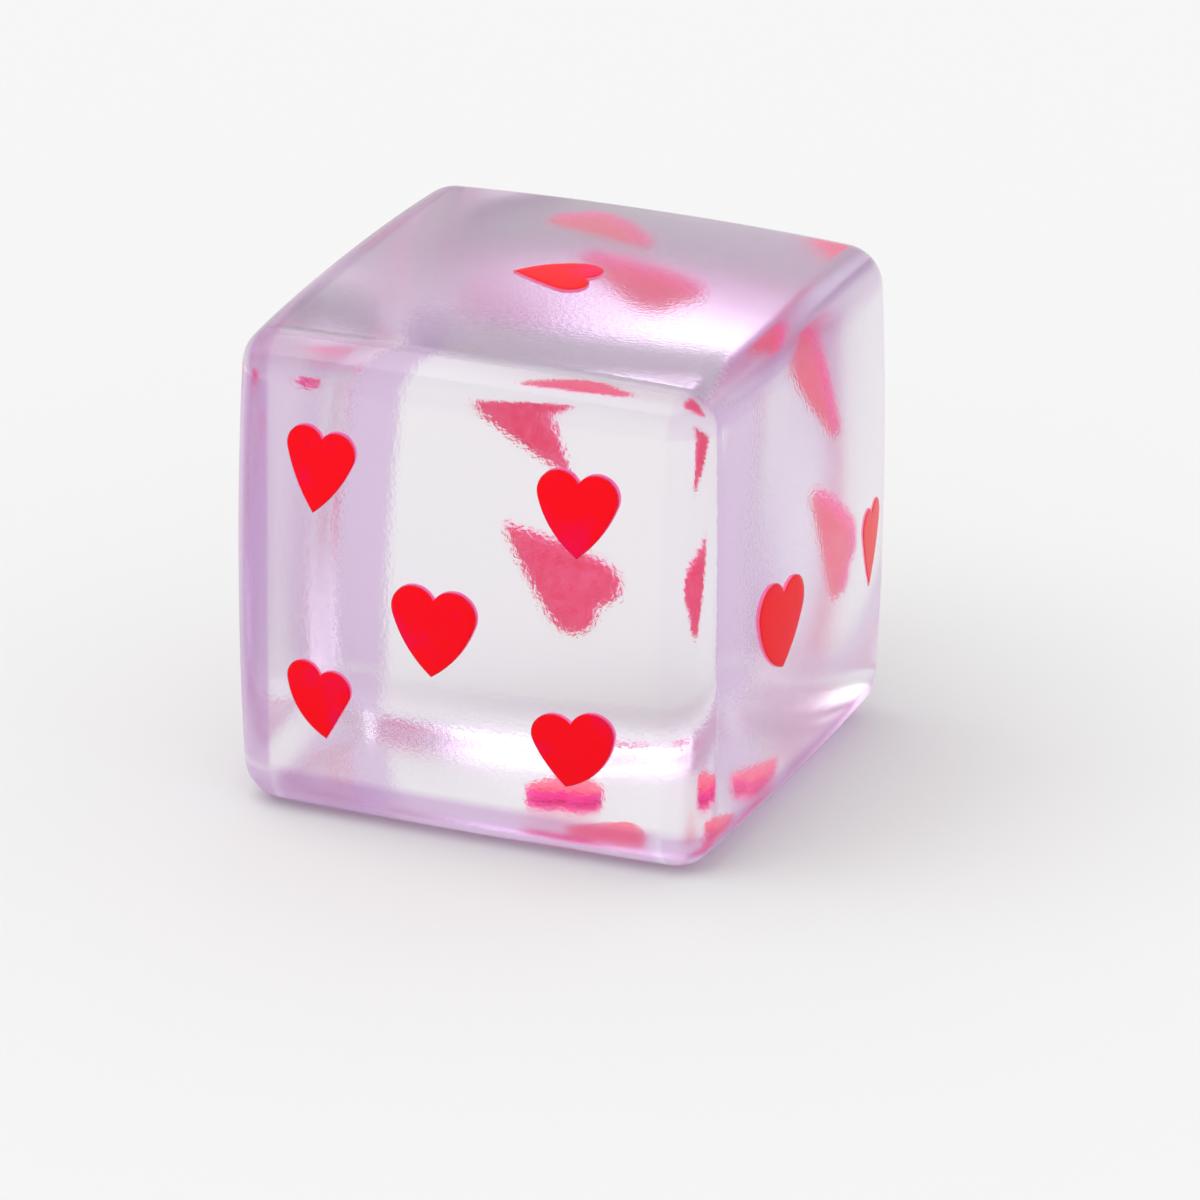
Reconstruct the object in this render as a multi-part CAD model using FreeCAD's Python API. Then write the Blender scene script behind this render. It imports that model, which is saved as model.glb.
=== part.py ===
import FreeCAD, Part
import math
import os

Vector = FreeCAD.Vector

# A clear cast die. It stands on its flat base at z = 0, with +Z up and the
# origin at the middle of the base. The face towards -Y carries five hearts.
# Five faces swell gently outwards and the base is flat. The hearts are thin
# coloured inlays, each flush in its own recess. All sizes are in millimetres.

# Driving dimensions of the body
CUBE_EDGE = 28.0          # between opposite faces, measured along their edges
FACE_SWELL = 1.3          # rise of a swelling face, from its edges to its middle
EDGE_ROUND = 2.4          # radius of every rounded edge

# Driving dimensions of a heart inlay
HEART_WIDTH = 4.9
HEART_HEIGHT = 5.0
LOBE_SHARE = 0.27         # radius of the two round lobes, as a share of the width
SIDE_START_DEG = -18.0    # where a lobe runs into the long side arc, below level
INLAY_DEPTH = 0.6         # thickness of an inlay and depth of its recess

HALF_EDGE = CUBE_EDGE / 2
CUTTER_OVERSHOOT = 2.0    # how far a recess cutter stands out of the body

# Each face as it is seen from outside: its right, up and outward directions
FACES = {
    "front": (Vector(1, 0, 0), Vector(0, 0, 1), Vector(0, -1, 0)),
    "right": (Vector(0, 1, 0), Vector(0, 0, 1), Vector(1, 0, 0)),
    "back": (Vector(-1, 0, 0), Vector(0, 0, 1), Vector(0, 1, 0)),
    "left": (Vector(0, -1, 0), Vector(0, 0, 1), Vector(-1, 0, 0)),
    "top": (Vector(1, 0, 0), Vector(0, 1, 0), Vector(0, 0, 1)),
    "base": (Vector(1, 0, 0), Vector(0, -1, 0), Vector(0, 0, -1)),
}

# The hearts are hand-set and uneven. For each face: place on the face, mm to
# the right of its middle, mm above its middle and turn in degrees against the
# clock. An odd-shaped heart also has its own width, height and lean, which is
# how far its point stands to the right of its middle, in mm.
REGULAR = (HEART_WIDTH, HEART_HEIGHT, 0.0)
HEARTS = {
    "front": [
        ("upper_left", -8.5, 6.9, -5, (4.2, 4.9, -0.1)),
        ("upper_right", 6.8, 6.8, -2, (4.7, 4.9, 0.2)),
        ("centre", -1.4, -1.25, -1, (5.1, 5.25, -0.1)),
        ("lower_left", -8.7, -6.65, -11, (4.0, 4.2, 1.0)),
        ("lower_right", 6.8, -7.0, 8, (4.8, 4.4, -0.9)),
    ],
    "right": [
        ("forward", -5.2, -1.8, -9, (5.8, 5.2, 1.0)),
        ("rearward", 9.5, -2.6, 0, (3.8, 5.0, 0.0)),
    ],
    "back": [
        ("upper", 3.9, 2.5, -42, (4.2, 6.3, 0.0)),
        ("lower", 2.8, -4.9, 126, (4.4, 6.3, 0.0)),
    ],
    "left": [
        ("rearward", -7.4, 7.8, 4, REGULAR),
        ("forward", 7.6, 5.2, -3, REGULAR),
    ],
    "top": [
        ("centre", 0.0, -1.4, -92, (4.1, 4.65, 0.6)),
    ],
    "base": [
        ("forward", 6.9, 6.8, 8, REGULAR),
        ("rearward", 1.6, -3.3, -5, (4.3, 4.8, 0.0)),
    ],
}


def centre_of_body():
    """Middle of the cube that the edges outline."""
    return Vector(0, 0, HALF_EDGE)


def on_face(face, across, up, out):
    """Point given along a face's own axes, as a point of the die."""
    right_axis, up_axis, out_axis = FACES[face]
    return centre_of_body() + right_axis * across + up_axis * up + out_axis * out


def swell_of(face):
    """Rise of the middle of one face."""
    return 0.0 if face == "base" else FACE_SWELL


def face_surface(face):
    """One face of the cube: straight edges, with its middle raised by its swell."""
    if face == "base":
        corners = [(-1, -1), (1, -1), (1, 1), (-1, 1), (-1, -1)]
        points = [on_face(face, HALF_EDGE * across, HALF_EDGE * up, HALF_EDGE) for across, up in corners]
        return Part.Face(Part.makePolygon(points))
    patch = Part.BezierSurface()
    patch.increase(2, 2)
    for row in (0, 1, 2):
        for column in (0, 1, 2):
            # The middle pole of a patch of second degree lifts its middle by a quarter
            lift = 4 * swell_of(face) if (row, column) == (1, 1) else 0.0
            across = (row - 1) * HALF_EDGE
            up = (column - 1) * HALF_EDGE
            patch.setPole(row + 1, column + 1, on_face(face, across, up, HALF_EDGE + lift))
    return patch.toShape()


def body_blank():
    """The clear block before its heart recesses are cut."""
    shell = Part.makeShell([face_surface(face) for face in FACES])
    shell.sewShape()
    block = Part.makeSolid(shell)
    if block.Volume < 0:
        block.reverse()
    return block.makeFillet(EDGE_ROUND, block.Edges)


def heart_side(side, width, height, lean):
    """Arcs of one half of a heart, from the notch to the point. Side is 1 for right, -1 for left."""
    lobe_radius = LOBE_SHARE * width
    lobe_x = width / 2 - lobe_radius
    lobe = Vector(side * lobe_x, height / 2 - lobe_radius, 0)
    lobe_top = lobe + Vector(0, lobe_radius, 0)
    notch = Vector(0, lobe.y + math.sqrt(lobe_radius**2 - lobe_x**2), 0)
    tip = Vector(lean, -height / 2, 0)

    # The side arc touches the lobe where it starts, and ends at the point
    start_angle = math.radians(SIDE_START_DEG)
    outwards = Vector(side * math.cos(start_angle), math.sin(start_angle), 0)
    from_tip = lobe - tip
    room = from_tip.dot(from_tip) - lobe_radius**2
    centre_shift = room / (2 * (lobe_radius + from_tip.dot(outwards)))
    side_centre = lobe - outwards * centre_shift
    side_start = lobe + outwards * lobe_radius
    towards_middle = (side_start - side_centre) + (tip - side_centre)
    side_middle = side_centre + towards_middle.normalize() * (centre_shift + lobe_radius)
    return [
        Part.Arc(notch, lobe_top, side_start).toShape(),
        Part.Arc(side_start, side_middle, tip).toShape(),
    ]


def heart_outline(width, height, lean):
    """Heart in the plane z = 0, with its point down."""
    right_half = heart_side(1, width, height, lean)
    left_half = heart_side(-1, width, height, lean)
    return Part.Wire(right_half + left_half[::-1])


def surface_placement(face, across, up):
    """Axes square to the swollen face at one place, with their origin on the surface."""
    right_axis, up_axis, out_axis = FACES[face]
    swell = swell_of(face)
    across_fade = 1 - (across / HALF_EDGE) ** 2
    up_fade = 1 - (up / HALF_EDGE) ** 2
    slope_across = -2 * swell * across * up_fade / HALF_EDGE**2
    slope_up = -2 * swell * up * across_fade / HALF_EDGE**2
    normal = (out_axis - right_axis * slope_across - up_axis * slope_up).normalize()
    local_right = (right_axis - normal * normal.dot(right_axis)).normalize()
    local_up = normal.cross(local_right)
    origin = on_face(face, across, up, HALF_EDGE + swell * across_fade * up_fade)
    return FreeCAD.Placement(FreeCAD.Matrix(
        local_right.x, local_up.x, normal.x, origin.x,
        local_right.y, local_up.y, normal.y, origin.y,
        local_right.z, local_up.z, normal.z, origin.z,
        0, 0, 0, 1,
    ))


def heart_cutter(face, across, up, turn, shape):
    """Heart-shaped prism, square to the face, whose floor lies one inlay depth under it."""
    prism = Part.Face(heart_outline(*shape)).extrude(Vector(0, 0, INLAY_DEPTH + CUTTER_OVERSHOOT))
    prism.translate(Vector(0, 0, -INLAY_DEPTH))
    prism.rotate(Vector(0, 0, 0), Vector(0, 0, 1), turn)
    prism.Placement = surface_placement(face, across, up).multiply(prism.Placement)
    return prism


def build():
    """Clear body and its inlays, by node name."""
    blank = body_blank()
    nodes = {}
    body = blank
    for face, hearts in HEARTS.items():
        for place, across, up, turn, shape in hearts:
            cutter = heart_cutter(face, across, up, turn, shape)
            nodes["heart_" + face + "_" + place] = blank.common(cutter)
            body = body.cut(cutter)
    nodes["clear_body"] = body
    return nodes


os.makedirs("parts", exist_ok=True)
for node, shape in build().items():
    solids = shape.Solids
    assert len(solids) == 1 and solids[0].isValid(), node
    solids[0].exportStep("parts/" + node + ".step")
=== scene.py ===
import math

import bmesh
import bpy
import numpy as np
from mathutils import Matrix, Vector


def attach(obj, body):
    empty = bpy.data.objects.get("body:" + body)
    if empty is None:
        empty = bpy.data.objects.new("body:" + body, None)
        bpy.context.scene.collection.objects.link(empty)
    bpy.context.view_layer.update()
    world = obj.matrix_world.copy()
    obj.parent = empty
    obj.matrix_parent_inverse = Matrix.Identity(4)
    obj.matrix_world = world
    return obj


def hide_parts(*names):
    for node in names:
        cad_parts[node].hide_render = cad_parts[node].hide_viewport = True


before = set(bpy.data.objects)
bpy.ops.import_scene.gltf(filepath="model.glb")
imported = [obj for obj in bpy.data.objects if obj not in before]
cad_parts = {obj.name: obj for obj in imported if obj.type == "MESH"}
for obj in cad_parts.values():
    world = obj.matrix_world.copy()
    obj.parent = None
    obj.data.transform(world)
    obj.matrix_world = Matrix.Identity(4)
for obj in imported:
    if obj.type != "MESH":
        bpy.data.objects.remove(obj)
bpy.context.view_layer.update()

# A clear cast die with red heart inlays. One closed skin without recesses stands for the
# clear body. The hearts are set into it, with their tops a hair above the skin and still
# under the CAD surface. Lengths are in metres unless a comment says mm.
MM = 0.001

# Driving dimensions of the die, which repeat the part's own
CUBE_EDGE = 28.0 * MM
FACE_SWELL = 1.3 * MM
EDGE_ROUND = 2.4 * MM
HEART_WIDTH = 4.9           # mm
HEART_HEIGHT = 5.0          # mm
LOBE_SHARE = 0.27           # radius of a heart's two lobes, as a share of its width
SIDE_START_DEG = -18.0      # where a lobe runs into the long side arc, below level
INLAY_DEPTH = 0.6 * MM

HALF_EDGE = CUBE_EDGE / 2
SKIN_GAP = 0.02 * MM        # the clear skin lies this far under the CAD surface
HEART_SINK = 0.005 * MM     # a heart's top lies this far under the CAD surface
HEART_RIM = 0.05 * MM       # softening of a heart's edges
FLOOR_GAP = 0.02 * MM       # air under the base

# Mesh densities
FLAT_STEPS = 40             # across the swelling part of a face
ROUND_STEPS = 18            # across one rounded edge, on each of its faces
ARC_STEPS = 14              # along each of a heart's four arcs
ROLL_SWEEPS = 30            # passes that settle the rolling ball
JOIN_DIGITS = 5             # grid points that agree to this many decimals of a mm are one point

# A heart, from the middle of its top to the middle of its underside: share of the
# outline's size, and depth under the face
HEART_RINGS = [
    (0.25, 0.0), (0.5, 0.0), (0.75, 0.0), (0.93, 0.0), (0.975, 0.2 * HEART_RIM), (1.0, HEART_RIM),
    (1.0, 0.5 * INLAY_DEPTH), (1.0, INLAY_DEPTH - HEART_RIM), (0.975, INLAY_DEPTH), (0.5, INLAY_DEPTH),
]

# Each face as it is seen from outside: its right, up and outward directions
FACES = {
    "front": (Vector((1, 0, 0)), Vector((0, 0, 1)), Vector((0, -1, 0))),
    "right": (Vector((0, 1, 0)), Vector((0, 0, 1)), Vector((1, 0, 0))),
    "back": (Vector((-1, 0, 0)), Vector((0, 0, 1)), Vector((0, 1, 0))),
    "left": (Vector((0, -1, 0)), Vector((0, 0, 1)), Vector((-1, 0, 0))),
    "top": (Vector((1, 0, 0)), Vector((0, 1, 0)), Vector((0, 0, 1))),
    "base": (Vector((1, 0, 0)), Vector((0, -1, 0)), Vector((0, 0, -1))),
}

# How satin each rounded edge is, from 0 for polished to 1, and how deep the satin
# reaches from the surfaces of both its faces. The same strength also sets the edge's
# lavender, which is painted shade: the shadowed floor seen through the clear body.
BAND_FADE = 0.3 * MM        # how fast the satin sets in
EDGE_SATIN_AND_SHADE = {
    ("front", "right"): (0.1, EDGE_ROUND),
    ("front", "left"): (1.0, EDGE_ROUND),
    ("front", "top"): (0.15, EDGE_ROUND),
    ("front", "base"): (1.0, EDGE_ROUND + 0.5 * MM),
    ("right", "back"): (0.2, EDGE_ROUND),
    ("right", "top"): (0.4, EDGE_ROUND),
    ("right", "base"): (1.0, EDGE_ROUND + 0.2 * MM),
    ("back", "left"): (1.0, EDGE_ROUND + 0.4 * MM),
    ("back", "top"): (0.4, EDGE_ROUND),
    ("back", "base"): (0.3, EDGE_ROUND),
    ("left", "top"): (0.8, EDGE_ROUND),
    ("left", "base"): (1.0, EDGE_ROUND + 0.2 * MM),
}
# How lavender each face is, as painted shade, and how hazy it is, on the same scale
FACE_SHADE_LAVENDER = {"front": 0.0, "right": 0.0, "back": 0.0, "left": 0.15, "top": 0.4, "base": 0.2}
FACE_HAZE = {"front": 0.0, "right": 0.1, "back": 0.0, "left": 0.2, "top": 0.5, "base": 0.6}

# Hearts of each face: place, mm right of the middle, mm above the middle, turn in
# degrees, and then width, height and lean of the point in mm
REGULAR = (HEART_WIDTH, HEART_HEIGHT, 0.0)
HEARTS = {
    "front": [
        ("upper_left", -8.5, 6.9, -5, (4.2, 4.9, -0.1)),
        ("upper_right", 6.8, 6.8, -2, (4.7, 4.9, 0.2)),
        ("centre", -1.4, -1.25, -1, (5.1, 5.25, -0.1)),
        ("lower_left", -8.7, -6.65, -11, (4.0, 4.2, 1.0)),
        ("lower_right", 6.8, -7.0, 8, (4.8, 4.4, -0.9)),
    ],
    "right": [
        ("forward", -5.2, -1.8, -9, (5.8, 5.2, 1.0)),
        ("rearward", 9.5, -2.6, 0, (3.8, 5.0, 0.0)),
    ],
    "back": [
        ("upper", 3.9, 2.5, -42, (4.2, 6.3, 0.0)),
        ("lower", 2.8, -4.9, 126, (4.4, 6.3, 0.0)),
    ],
    "left": [
        ("rearward", -7.4, 7.8, 4, REGULAR),
        ("forward", 7.6, 5.2, -3, REGULAR),
    ],
    "top": [
        ("centre", 0.0, -1.4, -92, (4.1, 4.65, 0.6)),
    ],
    "base": [
        ("forward", 6.9, 6.8, 8, REGULAR),
        ("rearward", 1.6, -3.3, -5, (4.3, 4.8, 0.0)),
    ],
}

# Clear resin: polished and colourless at 0, satin and lavender at 1. The lavender is painted shade,
# seen through the body.
RESIN_INDEX = 1.5
CLEAR_COLOUR = (0.975, 1.0, 0.95, 1)
SHADE_LAVENDER_COLOUR = (0.64, 0.41, 0.69, 1)
POLISHED_ROUGHNESS = 0.09
SATIN_ROUGHNESS = 0.26
TINT_COLOUR = (0.81, 0.63, 0.96, 1)
TINT_DENSITY = 8.5
GRAIN_SCALE = 3600          # fine ripple of the cast surface
GRAIN_DETAIL = 2
GRAIN_HEIGHT = 0.009 * MM

# Heart inlays
ENAMEL_INDEX = 1.16
SIDE_WALL_SLOPE = 0.5       # a side wall's normal has a smaller share than this along the face's

# Studio
FLOOR_RADIUS = 6.0
FLOOR_SIDES = 96
FLOOR_COLOUR = (0.73, 0.73, 0.73, 1)
FLOOR_ROUGHNESS = 0.9
SKY_COLOUR = (0.905, 0.905, 0.905, 1)
LIGHT_AZIMUTH_DEG = -50
LIGHT_ELEVATION_DEG = 66
LIGHT_SPREAD_DEG = 60
LIGHT_STRENGTH = 1.25
LIGHT_BOUNCES = 24

# Camera. Its three small turns set the die left of and above the middle.
CAMERA_AZIMUTH_DEG = 22.64
CAMERA_ELEVATION_DEG = 21.917
CAMERA_DISTANCE = 21.1417 * CUBE_EDGE
CAMERA_LENS = 318.67        # mm
CAMERA_SENSOR = 36          # mm
CAMERA_NEAR = 0.05
CAMERA_FAR = 50
CAMERA_TURNS = (("Z", 0.00606), ("Y", -0.003327), ("X", -0.007436))


# ---------------------------------------------------------------- materials

def new_material(name):
    """Material, its nodes and links, and its main shader."""
    material = bpy.data.materials.new(name)
    material.use_nodes = True
    nodes = material.node_tree.nodes
    return material, nodes, material.node_tree.links, nodes["Principled BSDF"]


def clear_resin():
    """Polished clear faces, with satin bands where the edges are rounded, and a lavender base colour
    there and on some faces that is painted shade.
    """
    material, nodes, links, shader = new_material("clear_resin")
    shader.inputs["Transmission Weight"].default_value = 1.0
    shader.inputs["IOR"].default_value = RESIN_INDEX

    # painted shade: the lavender attribute tints the base colour where shade is seen through the body
    shade_lavender = nodes.new("ShaderNodeAttribute")
    shade_lavender.attribute_name = "shade_lavender"
    haze = nodes.new("ShaderNodeAttribute")
    haze.attribute_name = "haze"
    colour = nodes.new("ShaderNodeValToRGB")
    colour.color_ramp.elements[0].color = CLEAR_COLOUR
    colour.color_ramp.elements[1].color = SHADE_LAVENDER_COLOUR
    links.new(shade_lavender.outputs["Fac"], colour.inputs["Fac"])
    links.new(colour.outputs["Color"], shader.inputs["Base Color"])
    satin = nodes.new("ShaderNodeMapRange")
    satin.inputs["To Min"].default_value = POLISHED_ROUGHNESS
    satin.inputs["To Max"].default_value = SATIN_ROUGHNESS
    links.new(haze.outputs["Fac"], satin.inputs["Value"])
    links.new(satin.outputs["Result"], shader.inputs["Roughness"])

    place = nodes.new("ShaderNodeTexCoord")
    grain = nodes.new("ShaderNodeTexNoise")
    grain.inputs["Scale"].default_value = GRAIN_SCALE
    grain.inputs["Detail"].default_value = GRAIN_DETAIL
    links.new(place.outputs["Object"], grain.inputs["Vector"])
    bump = nodes.new("ShaderNodeBump")
    bump.inputs["Strength"].default_value = 1.0
    bump.inputs["Distance"].default_value = GRAIN_HEIGHT
    links.new(grain.outputs["Fac"], bump.inputs["Height"])
    links.new(bump.outputs["Normal"], shader.inputs["Normal"])

    tint = nodes.new("ShaderNodeVolumeAbsorption")
    tint.inputs["Color"].default_value = TINT_COLOUR
    tint.inputs["Density"].default_value = TINT_DENSITY
    links.new(tint.outputs["Volume"], nodes["Material Output"].inputs["Volume"])
    return material


def clouded(name, roughness, scale, detail, stops, painted_glow=0.0):
    """Opaque material whose colour drifts between two stops of a ramp, and which may also carry a
    painted glow of the same colour.
    """
    material, nodes, links, shader = new_material(name)
    shader.inputs["Roughness"].default_value = roughness
    place = nodes.new("ShaderNodeTexCoord")
    cloud = nodes.new("ShaderNodeTexNoise")
    cloud.inputs["Scale"].default_value = scale
    cloud.inputs["Detail"].default_value = detail
    links.new(place.outputs["Object"], cloud.inputs["Vector"])
    ramp = nodes.new("ShaderNodeValToRGB")
    for element, (position, colour) in zip(ramp.color_ramp.elements, stops):
        element.position = position
        element.color = colour
    links.new(cloud.outputs["Fac"], ramp.inputs["Fac"])
    links.new(ramp.outputs["Color"], shader.inputs["Base Color"])
    # painted glow: the ramp's colour also shines as light, though the part is no lamp
    if painted_glow > 0:
        links.new(ramp.outputs["Color"], shader.inputs["Emission Color"])
        shader.inputs["Emission Strength"].default_value = painted_glow
    return material, shader


def red_enamel():
    """Tops of the inlays."""
    stops = [(0.5, (0.93, 0.002, 0.010, 1)), (0.75, (0.84, 0.002, 0.08, 1))]
    material, shader = clouded("red_enamel", roughness=0.12, scale=300, detail=5, stops=stops)
    shader.inputs["IOR"].default_value = ENAMEL_INDEX
    return material


def pink_back_painted_glow():
    """Undersides of the inlays. Their glow is painted light, which stands in for light that comes
    through the enamel from outside.
    """
    stops = [(0.35, (0.85, 0.02, 0.10, 1)), (0.7, (0.94, 0.13, 0.28, 1))]
    material, _ = clouded("pink_back_painted_glow", roughness=0.35, scale=2500, detail=3, stops=stops, painted_glow=0.40)
    return material


def magenta_wall_painted_glow():
    """Side walls of the inlays, with a painted glow that brightens them."""
    stops = [(0.0, (0.92, 0.01, 0.22, 1)), (1.0, (0.95, 0.04, 0.38, 1))]
    material, _ = clouded("magenta_wall_painted_glow", roughness=0.3, scale=1500, detail=2, stops=stops, painted_glow=0.45)
    return material


def studio_floor():
    """Plain matt floor."""
    material, nodes, links, shader = new_material("studio_floor")
    shader.inputs["Base Color"].default_value = FLOOR_COLOUR
    shader.inputs["Roughness"].default_value = FLOOR_ROUGHNESS
    shader.inputs["Specular IOR Level"].default_value = 0.0
    return material


CLEAR = clear_resin()
RED = red_enamel()
PINK = pink_back_painted_glow()
WALL = magenta_wall_painted_glow()


# ---------------------------------------------------------------- clear body

def grid_stops():
    """Distances from the middle of the cube's edge, closer together on the rounded edges."""
    edge_strip = np.linspace(HALF_EDGE - EDGE_ROUND, HALF_EDGE, ROUND_STEPS + 1)[1:]
    middle = np.linspace(EDGE_ROUND - HALF_EDGE, HALF_EDGE - EDGE_ROUND, FLAT_STEPS + 1)
    return np.concatenate([-edge_strip[::-1], middle, edge_strip])


def swell_fade(t):
    """1 in the middle of the cube's edge, 0 at its ends."""
    return 1 - (t / HALF_EDGE) ** 2


def swell_of(face):
    """Rise of the middle of one face."""
    return 0.0 if face == "base" else FACE_SWELL


def height_of(face, across, above):
    """Distance from the middle of the cube to a face's surface, along its outward axis."""
    return HALF_EDGE + swell_of(face) * swell_fade(across) * swell_fade(above)


def depth_and_normal(points, face):
    """Depth of points under one swollen face, and its outward normal over them."""
    right, up, out = (np.array(axis) for axis in FACES[face])
    swell = swell_of(face)
    across = points @ right
    above = points @ up
    height = height_of(face, across, above)
    slope_across = -2 * swell * across / HALF_EDGE**2 * swell_fade(above)
    slope_up = -2 * swell * above / HALF_EDGE**2 * swell_fade(across)
    normal = out - slope_across[:, None] * right - slope_up[:, None] * up
    length = np.linalg.norm(normal, axis=1)
    return (height - points @ out) / length, normal / length[:, None]


def rounded(points):
    """
    Points of the sharp swollen cube, moved onto a ball that rolls round inside its edges.
    Also how lavender (painted shade) and how hazy each one is, from 0 when clear to 1 on a full satin
    edge.
    """
    push = {face: np.zeros(len(points)) for face in FACES}
    normals = {face: np.zeros_like(points) for face in FACES}
    centre = points.copy()
    for _ in range(ROLL_SWEEPS):
        for face in FACES:
            depth, normal = depth_and_normal(centre, face)
            push[face] = np.maximum(0, push[face] + EDGE_ROUND - depth)
            normals[face] = normal
            centre = points - sum(push[name][:, None] * normals[name] for name in FACES)
    away = points - centre
    surface = centre + away / np.linalg.norm(away, axis=1)[:, None] * EDGE_ROUND
    depth_under = {face: depth_and_normal(surface, face)[0] for face in FACES}
    looks = []
    # the first look is the painted shade lavender, the second the real satin haze
    for face_look in (FACE_SHADE_LAVENDER, FACE_HAZE):
        look = sum(face_look[face] * push[face] for face in FACES) / sum(push.values())
        for (first, second), (strength, reach) in EDGE_SATIN_AND_SHADE.items():
            deeper = np.maximum(depth_under[first], depth_under[second])
            share = np.clip((reach - deeper) / BAND_FADE, 0, 1)
            look = np.where(share > 0, np.maximum(look * (1 - share), strength * share), look)
        looks.append(look)
    return surface, looks


def cube_grid():
    """Grids on the six sharp-edged faces, joined along the edges: their points and their quads."""
    stops = grid_stops()
    points = []
    index_of = {}
    quads = []
    for face, (right, up, out) in FACES.items():
        grid = []
        for above in stops:
            for across in stops:
                point = right * across + up * above + out * height_of(face, across, above)
                key = tuple(round(value / MM, JOIN_DIGITS) for value in point)
                if key not in index_of:
                    index_of[key] = len(points)
                    points.append(point)
                grid.append(index_of[key])
        for row in range(len(stops) - 1):
            for column in range(len(stops) - 1):
                low = row * len(stops) + column
                high = low + len(stops)
                quads.append((grid[low], grid[low + 1], grid[high + 1], grid[high]))
    return np.array(points), quads


def make_body():
    """One closed skin, which also carries its painted shade lavender and how hazy it is at each point.
    """
    points, quads = cube_grid()
    surface, looks = rounded(points)
    shrink = 1 - SKIN_GAP / HALF_EDGE
    centre = np.array([0, 0, HALF_EDGE])
    mesh = bmesh.new()
    layers = [mesh.verts.layers.float.new(name) for name in ("shade_lavender", "haze")]
    verts = [mesh.verts.new(place) for place in surface * shrink + centre]
    for layer, look in zip(layers, looks):
        for vert, amount in zip(verts, look):
            vert[layer] = amount
    for quad in quads:
        mesh.faces.new([verts[index] for index in quad])
    return finish_piece(mesh, "clear_block", [CLEAR], "clear_body")


def finish_piece(mesh, name, materials, node):
    """Smooth object in place of a CAD node, riding on the one body."""
    for face in mesh.faces:
        face.smooth = True
    data = bpy.data.meshes.new(name)
    mesh.to_mesh(data)
    mesh.free()
    for material in materials:
        data.materials.append(material)
    piece = bpy.data.objects.new(name, data)
    bpy.context.scene.collection.objects.link(piece)
    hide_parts(node)
    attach(piece, "root")
    return piece


# ---------------------------------------------------------------- hearts

def heart_side(side, width, height, lean):
    """Points of one half of a heart, from the notch to just before the point. Side is 1 or -1."""
    lobe_radius = LOBE_SHARE * width
    lobe = Vector((side * (width / 2 - lobe_radius), height / 2 - lobe_radius))
    tip = Vector((lean, -height / 2))
    notch_angle = math.pi - math.acos(abs(lobe.x) / lobe_radius)
    start_angle = math.radians(SIDE_START_DEG)
    outwards = Vector((side * math.cos(start_angle), math.sin(start_angle)))
    from_tip = lobe - tip
    room = from_tip.dot(from_tip) - lobe_radius**2
    shift = room / (2 * (lobe_radius + from_tip.dot(outwards)))
    side_centre = lobe - outwards * shift
    to_tip = tip - side_centre
    tip_angle = math.atan2(to_tip.y, side * to_tip.x)

    def arc(centre, radius, start, end):
        angles = [start + (end - start) * step / ARC_STEPS for step in range(ARC_STEPS)]
        return [centre + Vector((side * math.cos(a), math.sin(a))) * radius for a in angles]

    lobe_arc = arc(lobe, lobe_radius, notch_angle, start_angle)
    return lobe_arc + arc(side_centre, shift + lobe_radius, start_angle, tip_angle)


def heart_outline(width, height, lean):
    """Points round a heart, from the notch down its right side and up its left."""
    right_half = heart_side(1, width, height, lean)
    left_half = heart_side(-1, width, height, lean)
    return right_half + [Vector((lean, -height / 2))] + left_half[:0:-1]


def surface_point(face, across, up):
    """Point of a face's swollen surface, from the distances right of and above its middle."""
    right, above, out = FACES[face]
    return Vector((0, 0, HALF_EDGE)) + right * across + above * up + out * height_of(face, across, up)


def make_heart(face, place, across, up, turn, shape):
    """One inlay, which follows the swell of its face: red on top, magenta with a painted glow at its
    sides, pink with a painted glow below.
    """
    out = FACES[face][2]
    outline = [point * MM for point in heart_outline(*shape)]
    spin = Matrix.Rotation(math.radians(turn), 2)
    looks = [RED, PINK, WALL]
    mesh = bmesh.new()

    def vertex(point, depth):
        turned = spin @ point
        place_on_face = surface_point(face, across * MM + turned.x, up * MM + turned.y)
        return mesh.verts.new(place_on_face - out * (depth + HEART_SINK))

    top_middle = vertex(Vector((0, 0)), 0.0)
    loops = [[vertex(point * share, depth) for point in outline] for share, depth in HEART_RINGS]
    under_middle = vertex(Vector((0, 0)), INLAY_DEPTH)
    count = len(outline)
    for i in range(count):
        j = (i + 1) % count
        mesh.faces.new((top_middle, loops[0][j], loops[0][i]))
        for upper, lower in zip(loops, loops[1:]):
            mesh.faces.new((upper[i], upper[j], lower[j], lower[i]))
        mesh.faces.new((under_middle, loops[-1][i], loops[-1][j]))
    bmesh.ops.recalc_face_normals(mesh, faces=mesh.faces)
    mesh.normal_update()
    for polygon in mesh.faces:
        facing = polygon.normal.dot(out)
        if facing > SIDE_WALL_SLOPE:
            polygon.material_index = looks.index(RED)
        elif facing < -SIDE_WALL_SLOPE:
            polygon.material_index = looks.index(PINK)
        else:
            polygon.material_index = looks.index(WALL)
    node = "heart_" + face + "_" + place
    return finish_piece(mesh, "pip_" + face + "_" + place, looks, node)


make_body()
for face_name, hearts in HEARTS.items():
    for heart in hearts:
        make_heart(face_name, *heart)


# ---------------------------------------------------------------- studio

def make_floor():
    """Round floor, just under the base."""
    mesh = bmesh.new()
    bmesh.ops.create_circle(mesh, cap_ends=True, radius=FLOOR_RADIUS, segments=FLOOR_SIDES)
    data = bpy.data.meshes.new("studio_floor")
    mesh.to_mesh(data)
    mesh.free()
    data.materials.append(studio_floor())
    floor = bpy.data.objects.new("studio_floor", data)
    floor.location.z = -FLOOR_GAP
    bpy.context.scene.collection.objects.link(floor)


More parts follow.
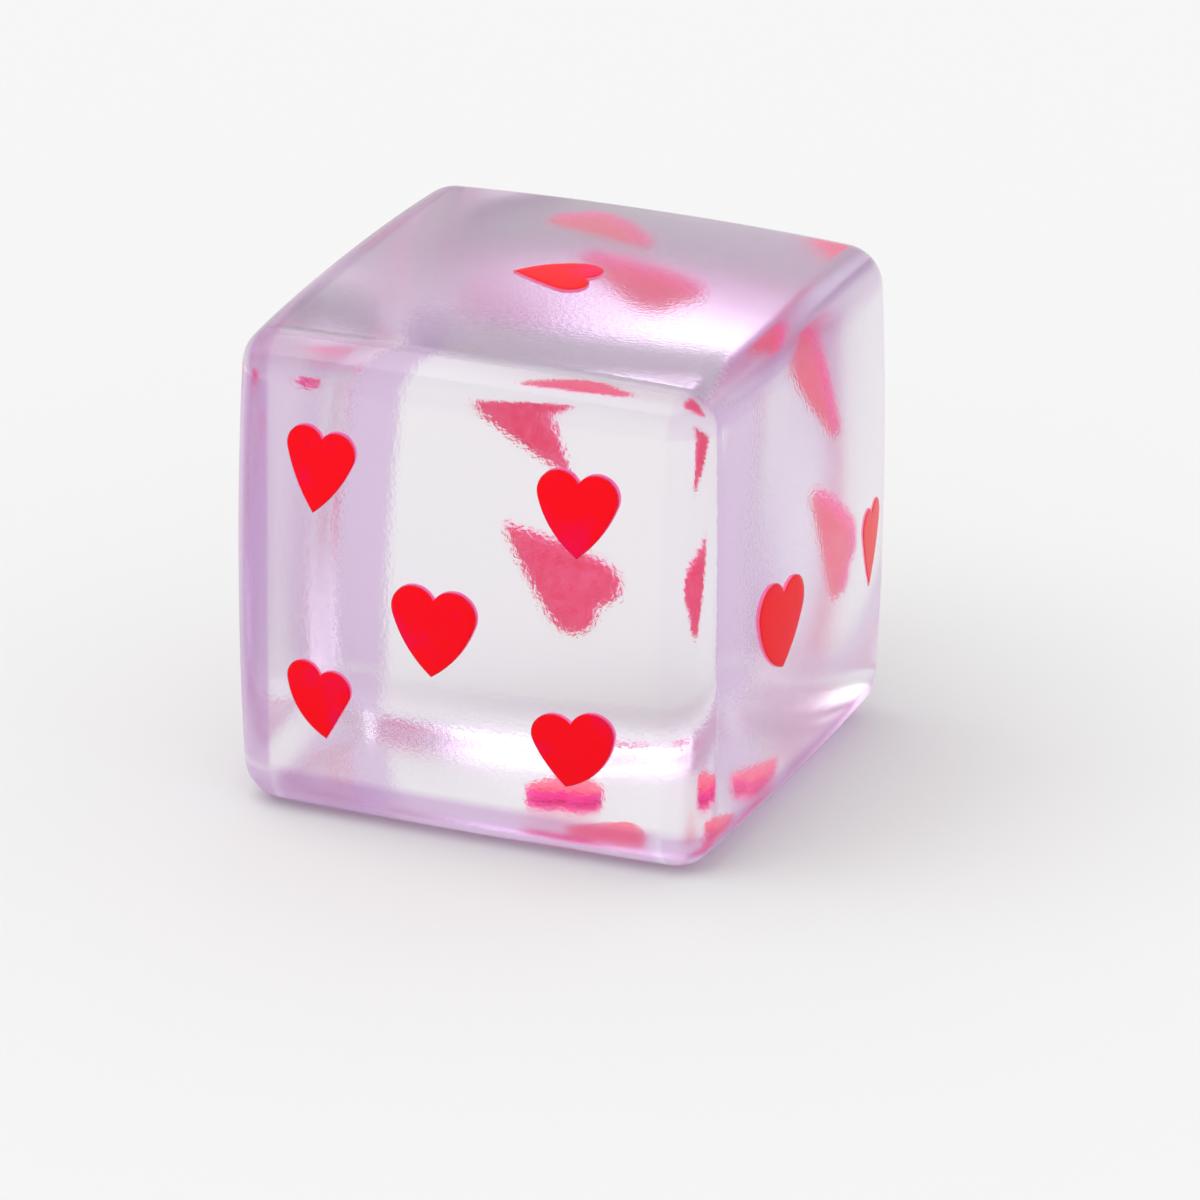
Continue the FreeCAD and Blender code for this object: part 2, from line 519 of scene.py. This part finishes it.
def direction(azimuth_deg, elevation_deg):
    """Unit vector away from the die. The azimuth runs from the front towards the right."""
    azimuth = math.radians(azimuth_deg)
    elevation = math.radians(elevation_deg)
    return Vector((
        math.sin(azimuth) * math.cos(elevation),
        -math.cos(azimuth) * math.cos(elevation),
        math.sin(elevation),
    ))


def make_light():
    """Broad even light, spread over a disc of sky."""
    back = direction(LIGHT_AZIMUTH_DEG, LIGHT_ELEVATION_DEG)
    data = bpy.data.lights.new("key", "SUN")
    data.angle = math.radians(LIGHT_SPREAD_DEG)
    data.energy = LIGHT_STRENGTH
    light = bpy.data.objects.new("key", data)
    light.location = back
    light.rotation_mode = "QUATERNION"
    light.rotation_quaternion = (-back).to_track_quat("-Z", "Y")
    bpy.context.scene.collection.objects.link(light)


def make_world():
    """Even pale sky."""
    world = bpy.data.worlds.new("studio")
    bpy.context.scene.world = world
    world.use_nodes = True
    background = world.node_tree.nodes["Background"]
    background.inputs["Color"].default_value = SKY_COLOUR
    background.inputs["Strength"].default_value = 1.0


def make_camera():
    """Long lens, from the right of the front and above, with the die left of and above the middle."""
    back = direction(CAMERA_AZIMUTH_DEG, CAMERA_ELEVATION_DEG)
    data = bpy.data.cameras.new("camera")
    data.sensor_width = CAMERA_SENSOR
    data.lens = CAMERA_LENS
    data.dof.use_dof = False
    data.clip_start = CAMERA_NEAR
    data.clip_end = CAMERA_FAR
    camera = bpy.data.objects.new("camera", data)
    right = (-back).cross(Vector((0, 0, 1))).normalized()
    above = right.cross(-back)
    turned = Matrix((right, above, back)).transposed()
    for axis, angle in CAMERA_TURNS:
        turned = turned @ Matrix.Rotation(angle, 3, axis)
    camera.matrix_world = turned.to_4x4()
    camera.location = back * CAMERA_DISTANCE + Vector((0, 0, HALF_EDGE))
    bpy.context.scene.collection.objects.link(camera)
    bpy.context.scene.camera = camera


make_floor()
make_world()
make_light()
make_camera()

scene = bpy.context.scene
scene.view_settings.view_transform = "Standard"
scene.cycles.max_bounces = LIGHT_BOUNCES
scene.cycles.transmission_bounces = LIGHT_BOUNCES
scene.cycles.glossy_bounces = LIGHT_BOUNCES
